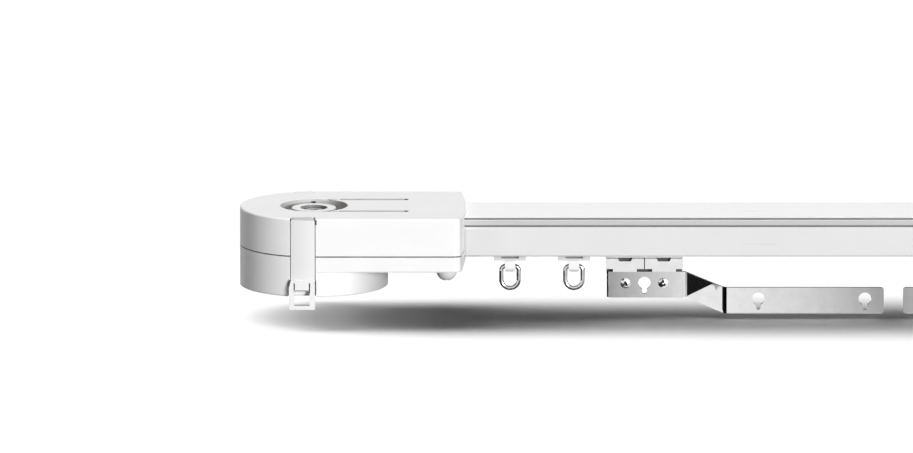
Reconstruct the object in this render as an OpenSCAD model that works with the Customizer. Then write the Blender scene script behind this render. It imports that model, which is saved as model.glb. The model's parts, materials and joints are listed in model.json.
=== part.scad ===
// Electric curtain track: a belt-driven, centre-opening rail with a drive box at its left
// end, an idler box at its right end, two carriers with pull arms and four runners.
// Millimetres. +X runs along the rail to the idler box, -Y is the front and +Z is up.
// The origin is at the middle of the rail's length and width, on its top face.

/* [Rail] */
// Length of the rail
rail_length = 500; // [490:10:1000]
// Width of the rail
rail_width = 34.5; // [33.5:0.5:38]
// Height of the rail
rail_height = 18.7; // [18.2:0.1:21]
// Wall thickness of the rail
rail_wall = 1.5; // [1.3:0.1:1.7]
// Chamfer of the lower corners of the rail
rail_chamfer = 0.6; // [0.3:0.1:1]
// Width of the slot along the underside
slot_width = 9; // [8:0.5:10]
// Depth of the clip grooves in the sides
clip_groove_depth = 1.1; // [0.8:0.1:1.3]
// Height of each clip groove
clip_groove_height = 0.9; // [0.6:0.1:1.2]
// Distance from the rail top to the middle of the upper clip groove
clip_groove_drop = 1; // [0.9:0.1:1.6]
// Distance between the two clip grooves
clip_groove_pitch = 3.4; // [2.8:0.1:3.8]
// Wall behind the clip grooves
clip_back_wall = 1.2; // [1:0.1:1.5]
// Thickness of the ribs that guide the belt
rib_thickness = 0.9; // [0.7:0.1:1.1]
// Height of the ribs that guide the belt
rib_height = 2.2; // [1.6:0.1:2.4]

/* [Belt and pulleys] */
// Width of the belt
belt_width = 8; // [6:0.5:8.5]
// Thickness of the belt
belt_thickness = 1.6; // [1.2:0.1:1.8]
// Room between the belt and the side wall of the rail
belt_side_room = 2.2; // [2:0.1:2.5]
// Pitch of the pulley teeth
tooth_pitch = 5; // [3:1:6]
// Radius of the groove between two teeth
tooth_groove_r = 1; // [0.6:0.1:1.2]
// Thickness of a pulley flange
flange_thickness = 1; // [0.8:0.1:1.2]
// How far a pulley flange stands out past the belt's middle
flange_rise = 2; // [1.5:0.1:2.2]
// Radius of the plain lower hub of the pulleys
lower_hub_r = 9; // [8.5:0.1:10]

/* [Boxes] */
// Radius of the round end, half the width of a box
box_radius = 34; // [33:0.5:38]
// Distance from the pulley axis to the end that the rail enters
box_reach = 69.8; // [62:0.1:72]
// How far that end bulges out in the middle
box_bulge = 2.5; // [2:0.5:6]
// Corner radius beside that end
box_corner = 3.5; // [3.5:0.5:7]
// Radius of the rounded upper edge
box_edge = 0.8; // [0.6:0.1:1.5]
// Radius of the rounded lower end edge
box_heel = 3; // [2:0.5:5]
// Height and depth of the groove along the parting line
seam_groove = 0.6; // [0.3:0.1:0.8]
// Wall thickness of the shells
box_wall = 2.5; // [2:0.1:3]
// Height of the box top above the rail top
roof_height = 2; // [1.8:0.1:3]
// Thickness of the floor under the rail
box_floor = 4; // [3.5:0.1:5]
// Height of the side wall of the lower shells
lower_height = 7.5; // [6.5:0.1:9]
// Distance from the rail end to the pulley axis
pulley_offset = 16.3; // [16:0.1:18]
// Radius of the shell screws
screw_r = 1.5; // [1.2:0.1:1.8]
// Distance from the rail top down to the tips of the shell screws
screw_cover = 6; // [4:0.1:8]
// Radius of the bosses that take the shell screws
boss_r = 4; // [3.5:0.1:4.5]
// Radius of the domed screw heads
dome_r = 4.8; // [4:0.1:5.5]
// Width and depth of the cross slot in the domed screw heads
dome_slot = 1; // [0.8:0.1:1.2]
// Distance from the box end to the end screws
end_screw_inset = 8.8; // [8:0.1:12]
// Distance from the side faces to the end screws
side_screw_inset = 6; // [5.5:0.1:8]
// Distance from the pulley axis to the inner screws
inner_screw_ring = 22; // [20.5:0.1:23]

/* [Drive box] */
// How far the round motor base stands below the arm of the box
base_drop = 11.5; // [10:0.1:14]
// Radius of the motor socket
socket_r = 27.5; // [26:0.1:28]
// Depth of the motor socket
socket_depth = 10; // [8:0.1:11]
// Thickness of the socket ceiling
socket_ceiling = 2; // [1.8:0.1:3]
// Radius of the recess in the top
recess_r = 15.5; // [14.5:0.1:15.6]
// Depth of the recess in the top
recess_depth = 4; // [3.5:0.1:4.2]
// Thickness of the recess floor
recess_floor = 1.3; // [1.1:0.1:1.4]
// Radius of the index pin in the recess
index_pin_r = 0.8; // [0.6:0.1:0.9]
// Gap between the index pin and the wall of the recess
index_pin_room = 0.5; // [0.4:0.1:0.8]
// Radius of the pulley hub that shows in the recess
hub_r = 10.1; // [9.5:0.1:10.5]
// How far the hub lies below the box top
hub_drop = 1; // [0.5:0.1:1.5]
// Radius of the drive shaft
shaft_r = 6; // [5.5:0.1:6.5]
// Radius of the shaft's upper tip
shaft_tip_r = 4; // [3:0.1:4.5]
// Width across flats of the hexagonal shaft socket
hex_width = 7; // [5:0.5:7.5]
// Depth of the hexagonal shaft socket
hex_depth = 12; // [8:0.5:14]
// Wall of the bushes
bush_wall = 1.5; // [1.2:0.1:1.8]
// Angle each way of the window in the recess floor
window_angle = 50; // [30:1:60]
// Width of the two straight grooves in the top
top_groove_width = 1.6; // [1:0.1:2]
// Depth of the two straight grooves in the top
top_groove_depth = 0.7; // [0.4:0.1:0.8]
// Radius of the small hole at the end of each straight groove
top_groove_hole_r = 1.1; // [0.9:0.1:1.4]
// Length from the pulley axis to the end of the straight grooves
top_groove_reach = 42.3; // [35:0.1:48]

/* [Latch] */
// Width of the latch strap
latch_width = 11; // [9:0.1:12]
// Distance from the pulley axis to the middle of the latch
latch_offset = 4.9; // [3:0.1:5.5]
// Thickness of the latch strap
latch_thickness = 3.3; // [2.8:0.1:3.6]
// Depth of the latch head in the box top
latch_head_depth = 5; // [4.6:0.1:5.5]
// Height of the latch head
latch_head_height = 5; // [4.5:0.1:6]
// Length of the latch frame below the strap
latch_frame_length = 13.3; // [12:0.1:16]
// How far the latch frame ends below the motor base
latch_hang = 5.8; // [4:0.1:8]
// Width of the latch frame
latch_frame_width = 11.9; // [11:0.1:12.5]
// Height over which the latch strap widens to its frame
latch_widening = 3; // [2:0.1:4]
// How far the latch frame stands out from the round wall
latch_flare = 0.6; // [0.3:0.1:1]
// Width of the latch window
latch_window_width = 7; // [6:0.1:7.4]
// Height of the latch window
latch_window_height = 6.8; // [5:0.1:7]
// Height of the bar under the latch window
latch_bar = 1.8; // [1.4:0.1:2.4]
// Corner radius of the latch head
latch_corner = 1.8; // [1:0.1:2.2]
// Width of the slits beside the tongue of the latch
latch_slit_width = 0.6; // [0.4:0.1:0.8]
// Height of those slits above the latch window
latch_slit_height = 3.8; // [2:0.1:4.2]
// Radius of the latch pin
latch_pin_r = 1; // [0.8:0.1:1.2]
// How far the latch pin reaches into the shell on each side
latch_pin_hold = 2; // [1.5:0.1:2.5]
// Depth of the latch pin behind the front of the box
latch_pin_depth = 4.8; // [4.6:0.1:5.4]
// Depth of the latch pin below the box top
latch_pin_drop = 3; // [2.8:0.1:3.4]
// Radius of the latch eye round the pin
latch_eye_r = 2.2; // [1.9:0.1:2.4]

/* [Idler box] */
// Radius of the idler axle
idler_axle_r = 4; // [3:0.1:4.5]
// Radius of the bosses that hold the idler axle
idler_boss_r = 8; // [7:0.1:9]
// Thickness of the idler floor under its pulley
idler_floor = 2; // [1.8:0.1:3]

/* [Wheels] */
// Radius of the wheels
wheel_r = 4.5; // [4:0.1:4.8]
// Width of a wheel
wheel_width = 3.2; // [2.5:0.1:3.6]
// Radius of the wheel axles
axle_r = 1.25; // [1:0.05:1.5]
// Radius of the dish in the outer face of a wheel
wheel_dish_r = 3; // [2.5:0.1:3.2]
// Plastic above the axle in the runners and chassis
axle_cover = 1.75; // [1.5:0.05:2]

/* [Runners] */
// Share of the free room of a side that lies between the box and the outer runner
box_room_share = 0.37; // [0.2:0.01:0.5]
// Share of the free room of a side that lies between the inner runner and the carrier
carrier_room_share = 0.21; // [0.1:0.01:0.4]
// Length of the runner foot under the rail
foot_length = 14.7; // [12:0.1:16]
// Width of the runner foot
foot_width = 12; // [10:0.1:13]
// Thickness of the runner foot
foot_thickness = 3.7; // [3.2:0.1:4]
// Height of the notch in the front and back of the runner foot
notch_height = 2.8; // [2:0.1:3]
// Depth of that notch
notch_depth = 1.4; // [1:0.1:1.6]
// Length of the runner body inside the rail
runner_length = 8; // [7:0.1:9]
// Length along the rail of the runner neck
neck_length = 4.8; // [4.4:0.1:6.2]
// Radius of the lower corners of the runner neck
neck_corner = 1.2; // [0.8:0.1:1.6]
// Thickness of the runner neck
neck_thickness = 4; // [3.6:0.1:5]
// Height of the runner neck below its foot
neck_height = 6.3; // [5.8:0.1:7]
// Diameter of the ring wire
wire_d = 2; // [1.6:0.1:2.2]
// Outer width of the ring
ring_width = 10; // [9.8:0.1:11]
// Outer height of the ring
ring_height = 12.4; // [12:0.1:15]
// Radius of the ring's upper corners, along the middle of the wire
ring_corner = 2.2; // [2:0.1:2.6]
// Room round the ring wire in the runner's neck
ring_room = 0.4; // [0.3:0.1:0.6]
// Depth of the ring bar below the runner foot
ring_drop = 3.65; // [3.2:0.05:4]

/* [Carriers] */
// Gap between the tips of the two pull arms
tip_gap = 8.8; // [8.4:0.1:14]
// Thickness of the sheet metal
sheet = 1.5; // [1:0.1:1.6]
// Length of the hanger along the rail
hanger_length = 35.4; // [34:0.1:38]
// Distance from the rail's underside to the bend of the hanger
hanger_neck = 3; // [3:0.1:5]
// Height of the sloping part of the hanger
hanger_slope = 6.9; // [5:0.1:8]
// How far the slope brings the hanger forward
hanger_forward = 2; // [1.6:0.1:3.5]
// Height of the hanger plate
plate_height = 12.1; // [11:0.1:14]
// How far the plate is cut back at the hanger's free end
plate_trim = 1.2; // [0.8:0.1:2]
// Width of the slit between the hanger's two tabs
slit_width = 0.4; // [0.3:0.1:0.8]
// Length of a bend relief at the hanger's ends
relief_length = 3.2; // [2:0.1:4]
// Length of the bend relief in the middle
middle_relief = 7; // [4:0.1:8]
// Height of the bend reliefs
relief_height = 1.2; // [0.8:0.1:1.6]
// Width of the openings in the hanger's tabs
tab_window_width = 6.8; // [5:0.1:8]
// Height of those openings below the chassis
tab_window_height = 2.3; // [1.6:0.1:3]
// Distance from the hanger's middle to the middle of those openings
tab_window_place = 8.9; // [8:0.1:9.5]
// Distance from the hanger's middle to a rivet
rivet_place = 8.7; // [7.5:0.1:10]
// Radius of the rivet shanks
rivet_r = 1.3; // [1:0.1:1.5]
// Radius of the rivet heads
rivet_head_r = 2.4; // [2:0.1:2.8]
// Height of the rivet heads
rivet_head_height = 0.9; // [0.6:0.1:1.2]
// Thickness of the chassis tongue behind the hanger's tabs
tongue_thickness = 1.6; // [1.2:0.1:2]
// How far that tongue reaches below the top of the plate
tongue_reach = 1.4; // [1:0.1:1.6]
// Distance from the top edge of the plate or arm to its keyholes
keyhole_drop = 5.3; // [5:0.1:6]
// Radius of the keyholes in the sheet metal
keyhole_r = 2.9; // [2.5:0.1:3]
// Half the width of the narrow end of the keyholes
keyhole_tip_r = 1.1; // [0.8:0.1:1.3]
// Distance from the middle of a keyhole to its narrow end
keyhole_reach = 4; // [3.6:0.1:4.4]
// How far the root of the pull arm stops short of the hanger's free end
leaf_inset = 0.4; // [0.2:0.1:0.6]
// How far the root of the pull arm reaches past the hanger's other end
leaf_overhang = 1.1; // [0.8:0.1:1.4]
// Length of the twisted part between the hanger and the pull arm
twist_length = 17.5; // [15:0.1:20]
// Distance from the root of the pull arm to the crest of the twist
crest_reach = 12.8; // [11:0.1:14]
// How far the crest of the twist stands in front of the root
crest_forward = 7.7; // [6:0.1:9]
// How far the crest of the twist lies below the top of the root
crest_drop = 3.9; // [3:0.1:5]
// Length along the arm of the fold at its start
fold_length = 1.3; // [1:0.1:2]
// How far the fold brings the pull arm forward
fold_depth = 0.8; // [0.5:0.1:1.2]
// Length of the flat pull arm, with its fold
arm_length = 73.7; // [65:0.1:74]
// Height of the pull arm
arm_height = 12.1; // [11:0.1:14]
// How far the pull arm lies below its root
arm_drop = 6.5; // [5:0.1:8]
// How far the pull arm lies in front of its root
arm_forward = 4.5; // [3:0.1:6]
// Corner radius of the pull arm
arm_corner = 1.4; // [1:0.1:2]
// Distance between the two keyholes of the pull arm
keyhole_pitch = 49; // [40:0.5:52]
// Distance from the tip of the pull arm to its last keyhole
keyhole_inset = 8.7; // [7:0.1:12]
// Length of the belt clamp
clamp_length = 12; // [8:0.1:13]
// Thickness of the legs of the belt clamp
clamp_leg = 0.7; // [0.5:0.1:0.8]
// Radius of the peg that holds the belt clamp
peg_r = 1.5; // [1.2:0.1:1.8]
// Depth of that peg in the chassis
peg_depth = 2; // [1.5:0.1:2.5]
// Distance from the carrier's middle to its wheel axles
wheel_place = 11.5; // [11.2:0.1:12]

/* [Clearances] */
// Gap between the rail and the boxes
rail_fit = 0.1; // [0.05:0.05:0.15]
// Radial gap of a turning fit
running_gap = 0.05; // [0.02:0.01:0.09]
// Gap of a pressed or screwed fit
press_gap = 0.02; // [0.01:0.01:0.04]
// Gap between pieces that slide past each other
slide_gap = 0.3; // [0.2:0.05:0.35]
// Gap under the wheels
roll_gap = 0.2; // [0.15:0.05:0.3]

/* [Hidden] */

$fn = 96;
arc_steps = 6;
past = 1;

white = [0.93, 0.93, 0.93];
grey = [0.72, 0.72, 0.72];
chrome = [0.78, 0.79, 0.8];
steel = [0.5, 0.5, 0.52];
dark = [0.12, 0.12, 0.12];
bronze = [0.66, 0.5, 0.3];

// Levels, from the rail top down
rail_bottom_z = -rail_height;
track_z = rail_bottom_z + rail_wall;
belt_z = -rail_height / 2;
axle_z = track_z + roll_gap + wheel_r;
under_z = rail_bottom_z - slide_gap;
floor_z = rail_bottom_z - rail_fit - box_floor;
seam_z = floor_z + lower_height;
base_z = floor_z - base_drop;
socket_z = base_z + socket_depth;
ceiling_z = socket_z + socket_ceiling;
recess_z = roof_height - recess_depth;

// Belt and pulley sizes
belt_y = rail_width / 2 - rail_wall - belt_side_room - belt_thickness / 2;
pulley_x = rail_length / 2 + pulley_offset;
rim_r = belt_y - belt_thickness / 2 - slide_gap;
flange_r = belt_y + flange_rise;
tooth_count = round(2 * PI * belt_y / tooth_pitch);
rim_height = belt_width + 2 * slide_gap;
rim_top_z = belt_z + rim_height / 2;
rim_bottom_z = belt_z - rim_height / 2;

// Rail details
clip_wall = clip_groove_depth + clip_back_wall;
clip_wall_height = clip_groove_drop + clip_groove_pitch + clip_groove_height;
rib_y = belt_y - belt_thickness / 2 - 2 * slide_gap - rib_thickness;

// Latch levels, from the box top down
latch_end_z = base_z - latch_hang;
latch_frame_z = latch_end_z + latch_frame_length;
latch_pin_z = roof_height - latch_pin_drop;
latch_pin_y = latch_pin_depth - box_radius;
latch_back_y = latch_thickness - box_radius;
latch_pocket_y = latch_pin_y + latch_eye_r + slide_gap + box_wall;

// Shell screws, seen from the pulley axis of their box
end_screw_places = [for (s = [-1, 1]) [box_reach - end_screw_inset, s * (box_radius - side_screw_inset)]];
inner_screw_places = [for (a = [-135, 135]) inner_screw_ring * [cos(a), sin(a)]];
screw_top_z = -screw_cover;
inner_head_r = 2 * screw_r;
inner_head_height = screw_r;

// Runner and ring levels
foot_z = under_z - foot_thickness;
neck_z = foot_z - neck_height;
ring_z = foot_z - ring_drop;
ring_hole_r = wire_d / 2 + ring_room;
body_y = slot_width / 2 - slide_gap;
body_top_z = axle_z + axle_r + axle_cover;

// Carrier places, measured from the carrier's middle, and levels
leaf_end = hanger_length / 2 + leaf_overhang;
arm_start = leaf_end + twist_length;
arm_tip = arm_start + arm_length;
carrier_x = tip_gap / 2 + arm_tip;
tab_top_z = axle_z - axle_r - 2 * sheet;
chassis_bottom_z = rail_bottom_z - 2 * sheet;
bend_z = rail_bottom_z - hanger_neck;
plate_top_z = bend_z - hanger_slope;
plate_bottom_z = plate_top_z - plate_height;
plate_front_y = -hanger_forward - sheet / 2;
leaf_y = plate_front_y + sheet;
leaf_top_z = plate_top_z - slide_gap;
arm_y = leaf_y - arm_forward;
arm_top_z = leaf_top_z - arm_drop;
keyhole_z = plate_top_z - keyhole_drop;
arm_keyhole_z = arm_top_z - keyhole_drop;

// Runner places: the room between a carrier and its box is shared out round the two runners
room_start_x = carrier_x + hanger_length / 2;
room_end_x = pulley_x - box_reach;
free_room = room_end_x - room_start_x - 2 * foot_length;
runner_outer_x = room_end_x - box_room_share * free_room - foot_length / 2;
runner_inner_x = room_start_x + carrier_room_share * free_room + foot_length / 2;

// Points of an arc about a centre, from one angle to another
function arc(centre, r, from, to) = [
    for (i = [0 : arc_steps])
        let (a = from + (to - from) * i / arc_steps) centre + r * [cos(a), sin(a)]
];

// Right half of a slab's cross-section with rounded lower and upper edges
function half_section(low, high, half, low_r, high_r) = concat(
    [[0, low]],
    low_r > 0 ? arc([half - low_r, low + low_r], low_r, -90, 0) : [[half, low]],
    high_r > 0 ? arc([half - high_r, high - high_r], high_r, 0, 90) : [[half, high]],
    [[0, high]]
);

// The same cross-section, both halves
function whole_section(half) = concat(half, [for (i = [len(half) - 1 : -1 : 0]) [-half[i][0], half[i][1]]]);

// Outline of the straight part of a box, from the pulley axis to its bulging end
function box_outline(inset) =
    let (
        half = box_radius - inset,
        corner = box_corner - inset,
        reach = box_reach - inset,
        end_r = (box_radius ^ 2 + box_bulge ^ 2) / (2 * box_bulge) - inset,
        end_x = reach - end_r,
        corner_y = half - corner,
        lean = asin(corner_y / (end_r - corner)),
        corner_x = end_x + (end_r - corner) * cos(lean)
    )
    concat(
        [[0, -half]],
        arc([corner_x, -corner_y], corner, -90, -lean),
        arc([end_x, 0], end_r, -lean, lean),
        arc([corner_x, corner_y], corner, lean, 90),
        [[0, half]]
    );

// Puts a shape on the pulley axis of the drive box or, mirrored, of the idler box
module at_drive() {
    translate([-pulley_x, 0, 0]) children();
}

module at_idler() {
    mirror([1, 0, 0]) at_drive() children();
}

// Puts a shape on both sides of the rail's middle plane
module front_and_back() {
    children();
    mirror([0, 1, 0]) children();
}

module at_places(places) {
    for (p = places) translate(p) children();
}

// An upright cylinder between two levels
module post(r, low, high) {
    translate([0, 0, low]) cylinder(r = r, h = high - low);
}

// A block given by its two corners
module block(low, high) {
    translate(low) cube(high - low);
}

// A bar along X between two places
module x_bar(r, from, to, y, z) {
    translate([from, y, z]) rotate([0, 90, 0]) cylinder(r = r, h = to - from);
}

// A bar along Y, the same length each way
module y_bar(r, length, x, z) {
    translate([x, 0, z]) rotate([90, 0, 0]) cylinder(r = r, h = length, center = true);
}

// A cross-section in Y and Z, drawn out along X
module along_x(from, to) {
    translate([from, 0, 0]) rotate([90, 0, 90]) linear_extrude(to - from) children();
}

// A plate cut to an outline in X and Z
module plate(front_y, thickness) {
    translate([0, front_y + thickness, 0]) rotate([90, 0, 0]) linear_extrude(thickness) children();
}

// The outer form of a box, or its cavity if it is inset
module box_form(low, high, inset, low_r, high_r) {
    section = half_section(low, high, box_radius - inset, low_r, high_r);
    rotate([0, 0, 90]) rotate_extrude(angle = 180) polygon(section);
    intersection() {
        translate([0, 0, low]) linear_extrude(high - low) polygon(box_outline(inset));
        along_x(0, box_reach) polygon(whole_section(section));
    }
}

// Rounds the lower end edge of a box
module heel_trim() {
    corner = [box_reach - box_heel, floor_z + box_heel];
    translate([0, box_radius, 0]) rotate([90, 0, 0]) linear_extrude(2 * box_radius) polygon(concat(
        [[-box_radius, base_z - past], [0, base_z - past], [0, floor_z]],
        arc(corner, box_heel, -90, 0),
        [[box_reach, seam_z + past], [-box_radius, seam_z + past]]
    ));
}

module rail_passage() {
    half = rail_width / 2 + rail_fit;
    block([pulley_offset - rail_fit, -half, rail_bottom_z - rail_fit], [box_reach + past, half, rail_fit]);
}

module upper_form() {
    difference() {
        box_form(seam_z, roof_height, 0, 0, box_edge);
        box_form(seam_z - past, rail_fit, box_wall, 0, 0);
    }
    at_places(concat(end_screw_places, inner_screw_places)) post(boss_r, seam_z, rail_fit);
    front_and_back() rail_cheek();
}

// Rib that holds the rail sideways inside a box
module rail_cheek() {
    low_y = rail_width / 2 + rail_fit;
    block([pulley_offset + box_wall, low_y, seam_z], [box_reach - box_bulge, low_y + box_wall, rail_fit]);
}

module screw_pilots() {
    at_places(concat(end_screw_places, inner_screw_places))
        post(screw_r + press_gap, seam_z - past, screw_top_z + press_gap);
}

module latch_x_range(half_extra, low, high) {
    block(
        [-latch_offset - latch_width / 2 - half_extra, low[0], low[1]],
        [-latch_offset + latch_width / 2 + half_extra, high[0], high[1]]
    );
}

// Solid part of a shell round the latch
module latch_pocket(low, high) {
    intersection() {
        post(box_radius - box_wall / 2, low, high);
        latch_x_range(slide_gap + latch_pin_hold + box_wall / 2,
            [-box_radius - past, low], [latch_pocket_y, high]);
    }
}

// Room for the latch in the shells
module latch_room() {
    far_y = -box_radius - past;
    head_y = latch_head_depth - box_radius + 2 * slide_gap;
    frame_half = latch_frame_width / 2 + 2 * slide_gap;
    frame_x = -latch_offset - (latch_frame_width - latch_width) / 2;
    latch_x_range(slide_gap, [far_y, base_z - past], [latch_back_y + slide_gap, roof_height + past]);
    latch_x_range(slide_gap, [far_y, roof_height - latch_head_height - slide_gap],
        [head_y, roof_height + past]);
    x_bar(latch_eye_r + slide_gap, -latch_offset - latch_width / 2 - slide_gap,
        -latch_offset + latch_width / 2 + slide_gap, latch_pin_y, latch_pin_z);
    block([frame_x - frame_half, far_y, base_z - past],
        [frame_x + frame_half, latch_back_y + slide_gap, latch_frame_z + slide_gap]);
}

module latch_pin(gap) {
    hold = slide_gap + latch_pin_hold + gap;
    x_bar(latch_pin_r + gap, -latch_offset - latch_width / 2 - hold,
        -latch_offset + latch_width / 2 + hold, latch_pin_y, latch_pin_z);
}

module latch() {
    middle = -latch_offset;
    frame_x = middle - (latch_frame_width - latch_width) / 2;
    window_z = latch_end_z + latch_bar;
    difference() {
        union() {
            intersection() {
                post(box_radius, latch_frame_z, roof_height);
                latch_outline();
                union() {
                    latch_x_range(0, [-box_radius - past, latch_frame_z], [latch_back_y, roof_height]);
                    latch_x_range(0, [-box_radius - past, roof_height - latch_head_height],
                        [latch_head_depth - box_radius, roof_height]);
                    x_bar(latch_eye_r, middle - latch_width / 2, middle + latch_width / 2,
                        latch_pin_y, latch_pin_z);
                }
            }
            plate(-box_radius - latch_flare, latch_thickness) polygon([
                [middle - latch_width / 2, latch_frame_z],
                [frame_x - latch_frame_width / 2, latch_frame_z - latch_widening],
                [frame_x - latch_frame_width / 2, latch_end_z],
                [frame_x + latch_frame_width / 2, latch_end_z],
                [frame_x + latch_frame_width / 2, latch_frame_z],
            ]);
        }
        x_bar(latch_pin_r + running_gap, middle - latch_width, middle + latch_width,
            latch_pin_y, latch_pin_z);
        block([frame_x - latch_window_width / 2, -box_radius - past, window_z],
            [frame_x + latch_window_width / 2, latch_back_y + past, window_z + latch_window_height]);
        for (s = [-1, 1])
            translate([frame_x + s * latch_window_width / 2, 0, window_z + latch_window_height]) block(
                [-latch_slit_width / 2, -box_radius - past, -past],
                [latch_slit_width / 2, latch_back_y + past, latch_slit_height]);
    }
}

// Outline of the latch strap, seen from the front, with its rounded upper corners
module latch_outline() {
    half = latch_width / 2;
    low = latch_frame_z - past;
    corner_z = roof_height - latch_corner;
    translate([-latch_offset, 0, 0]) plate(-box_radius - past, box_radius) polygon(concat(
        [[-half, low], [half, low]],
        arc([half - latch_corner, corner_z], latch_corner, 0, 90),
        arc([latch_corner - half, corner_z], latch_corner, 90, 180)
    ));
}

module shell_screw(head_low, head_high) {
    post(screw_r, head_high, screw_top_z);
    post(inner_head_r, head_low, head_high);
}

module dome_screw() {
    post(screw_r, floor_z, screw_top_z);
    difference() {
        translate([0, 0, floor_z]) sphere(r = dome_r);
        post(dome_r + past, floor_z, floor_z + dome_r + past);
        for (a = [0, 90]) rotate(a)
            translate([-dome_r / 2, -dome_slot / 2, floor_z - dome_r - past])
                cube([dome_r, dome_slot, past + dome_slot]);
    }
}

// Toothed rim with its two flanges
module pulley_rim() {
    difference() {
        post(rim_r, rim_bottom_z, rim_top_z);
        for (i = [0 : tooth_count - 1]) rotate(i * 360 / tooth_count)
            translate([rim_r, 0, 0]) post(tooth_groove_r, rim_bottom_z - past, rim_top_z + past);
    }
    post(flange_r, rim_top_z, rim_top_z + flange_thickness);
    post(flange_r, rim_bottom_z - flange_thickness, rim_bottom_z);
}

// Two wheels on an axle that turns in the body between them
module wheelset(x) {
    inner_y = body_y + slide_gap;
    y_bar(axle_r, 2 * (inner_y + wheel_width), x, axle_z);
    front_and_back() difference() {
        translate([x, -inner_y, axle_z]) rotate([90, 0, 0]) cylinder(r = wheel_r, h = wheel_width);
        translate([x, -inner_y - wheel_width, axle_z]) rotate([90, 0, 0])
            cylinder(r = wheel_dish_r, h = wheel_width / 2, center = true);
    }
}

// Drop-shaped hole with its narrow end down
module keyhole(x, z, gap) {
    y_bar(keyhole_r + gap, 2 * box_radius, x, z);
    y_bar(keyhole_tip_r + gap, 2 * box_radius, x, z - keyhole_reach);
    block([x - keyhole_tip_r - gap, -box_radius, z - keyhole_reach],
        [x + keyhole_tip_r + gap, box_radius, z]);
}

// Tapered opening in a tab of the hanger
module tab_window(x) {
    half = tab_window_width / 2;
    low = chassis_bottom_z - tab_window_height;
    plate(-box_radius, 2 * box_radius) polygon([
        [x - half + sheet / 2, low], [x + half - sheet / 2, low], [x + half, low + sheet],
        [x + half, chassis_bottom_z], [x - half, chassis_bottom_z], [x - half, low + sheet],
    ]);
}

// Thin upright sheet between corner points
module facet(points) {
    sliver = 0.01;
    hull() for (p = points) translate(p) cube([sliver, sheet, sliver]);
}

module ring_shape() {
    wire_r = wire_d / 2;
    half = (ring_width - wire_d) / 2;
    low_z = ring_z - (ring_height - wire_d) + half;
    rotate([90, 0, 0]) {
        translate([0, low_z, 0]) rotate(180) rotate_extrude(angle = 180)
            translate([half, 0]) circle(r = wire_r);
        for (s = [0, 1]) mirror([s, 0, 0]) translate([half - ring_corner, ring_z - ring_corner, 0])
            rotate_extrude(angle = 90) translate([ring_corner, 0]) circle(r = wire_r);
    }
    x_bar(wire_r, ring_corner - half, half - ring_corner, 0, ring_z);
    for (s = [-1, 1]) translate([s * half, 0, 0]) post(wire_r, low_z, ring_z - ring_corner);
}

module runner_shape() {
    difference() {
        union() {
            block([-runner_length / 2, -body_y, foot_z], [runner_length / 2, body_y, body_top_z]);
            block([-foot_length / 2, -foot_width / 2, foot_z], [foot_length / 2, foot_width / 2, under_z]);
            intersection() {
                union() {
                    block([-neck_length / 2, -neck_thickness / 2, neck_z + neck_thickness / 2],
                        [neck_length / 2, neck_thickness / 2, foot_z + past]);
                    x_bar(neck_thickness / 2, -neck_length / 2, neck_length / 2, 0,
                        neck_z + neck_thickness / 2);
                }
                neck_outline();
            }
        }
        y_bar(axle_r + running_gap, rail_width, 0, axle_z);
        x_bar(ring_hole_r, -neck_length, neck_length, 0, ring_z);
        front_and_back() block([-runner_length / 2, -foot_width / 2 - past, under_z - notch_height],
            [runner_length / 2, notch_depth - foot_width / 2, under_z + slide_gap / 2]);
    }
}

// Outline of the runner neck, seen from the front, with its rounded lower corners
module neck_outline() {
    half = neck_length / 2;
    corner_z = neck_z + neck_corner;
    plate(-neck_thickness, 2 * neck_thickness) polygon(concat(
        arc([neck_corner - half, corner_z], neck_corner, 180, 270),
        arc([half - neck_corner, corner_z], neck_corner, 270, 360),
        [[half, foot_z + past], [-half, foot_z + past]]
    ));
}

// Carrier pieces of the left side, with the pull arm towards +X
module chassis_shape() {
    half = hanger_length / 2 - slide_gap;
    tab_half = sheet / 2 + press_gap;
    difference() {
        block([-half, -body_y, chassis_bottom_z], [half, body_y, body_top_z]);
        for (s = [-1, 1]) y_bar(axle_r + running_gap, rail_width, s * wheel_place, axle_z);
        block([-half - past, -tab_half, chassis_bottom_z - past],
            [half + past, tab_half, tab_top_z + press_gap]);
        clamp_peg(press_gap);
    }
}

// Tongue of the chassis behind the tabs of the hanger
module chassis_tongue() {
    half = hanger_length / 2 - slide_gap;
    tab_half = sheet / 2 + press_gap;
    block([-half, tab_half, plate_top_z - tongue_reach], [half, tab_half + tongue_thickness, track_z]);
}

module hanger_shape() {
    half = hanger_length / 2;
    back = sheet / 2;
    difference() {
        along_x(-half, half) polygon([
            [-back, tab_top_z], [back, tab_top_z], [back, bend_z], [leaf_y, plate_top_z],
            [leaf_y, plate_bottom_z], [plate_front_y, plate_bottom_z], [plate_front_y, plate_top_z],
            [-back, bend_z],
        ]);
        block([-slit_width / 2, -box_radius, plate_top_z], [slit_width / 2, box_radius, tab_top_z + past]);
        block([-half - past, -box_radius, plate_bottom_z - past],
            [plate_trim - half, box_radius, plate_top_z]);
        for (r = [[-half - past, relief_length - half], [-middle_relief / 2, middle_relief / 2],
            [half - relief_length, half + past]])
            block([r[0], -box_radius, plate_top_z], [r[1], box_radius, plate_top_z + relief_height]);
        for (s = [-1, 1]) {
            tab_window(s * tab_window_place);
            y_bar(rivet_r + press_gap, 2 * box_radius, s * rivet_place, keyhole_z);
        }
        keyhole(0, keyhole_z, 0);
    }
}

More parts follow.
